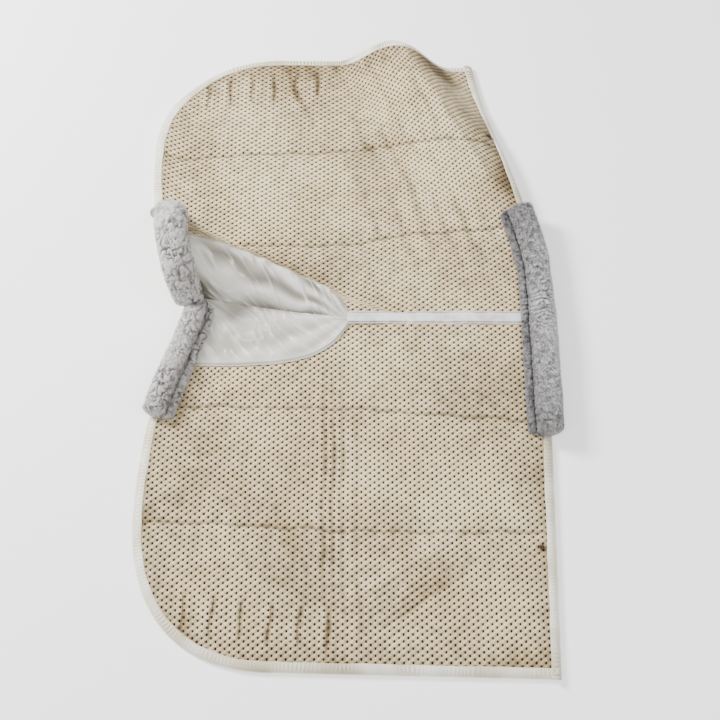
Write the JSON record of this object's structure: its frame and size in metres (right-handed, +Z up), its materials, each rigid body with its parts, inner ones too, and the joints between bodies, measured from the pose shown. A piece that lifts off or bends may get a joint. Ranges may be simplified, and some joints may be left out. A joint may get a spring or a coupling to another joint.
{
  "type": "saddle pad",
  "caption": "Quilted dressage-style saddle pad laid open lining up: two contoured flaps with perforated lining, bound edges, satin wither facing, spine tape, girth keepers and fleece rolls",
  "frame": {"origin": "bottom centre of the laid-out pad, on the floor", "axes": "+X runs along the spine towards the rear, +Y across to the horse's left flap, +Z up, away from the floor"},
  "size_m": [0.6455, 1.0583, 0.1208],
  "materials": {
    "shell_cotton": "quilted cotton twill",
    "foam": "wadding",
    "lining_mesh": "perforated soft lining",
    "satin": "satin",
    "binding": "satin binding",
    "webbing": "woven webbing",
    "thread": "stitching thread",
    "fleece": "curly fleece pile",
    "metal": "aged metal"
  },
  "bodies": {
    "right_flap": {"rear_roll_cover": "fleece", "right_corner_rivet": "metal", "right_edge_binding": "binding", "right_foam_core": "foam", "right_front_roll_cover": "fleece", "right_front_roll_foam": "foam", "right_girth_keeper": "webbing", "right_keeper_stitching": "thread", "right_lining": "lining_mesh", "right_outer_shell": "shell_cotton", "right_rear_binding": "binding", "right_rear_roll_foam": "foam", "right_wither_facing": "satin", "spine_tape": "satin"},
    "left_flap": {"left_corner_rivet": "metal", "left_edge_binding": "binding", "left_foam_core": "foam", "left_front_roll_cover": "fleece", "left_front_roll_foam": "foam", "left_girth_keeper": "webbing", "left_keeper_stitching": "thread", "left_lining": "lining_mesh", "left_outer_shell": "shell_cotton", "left_rear_binding": "binding", "left_rear_roll_foam": "foam", "left_wither_facing": "satin"}
  },
  "joints": [
    {"name": "spine_fold", "type": "hinge", "parent": "right_flap", "child": "left_flap", "pos_m": [0.027, 0.022, 0.0112], "axis": [1, 0, 0], "range_deg": [0, 90], "deforming": ["spine_tape", "rear_roll_cover", "right_front_roll_cover", "left_front_roll_cover"]}
  ]
}
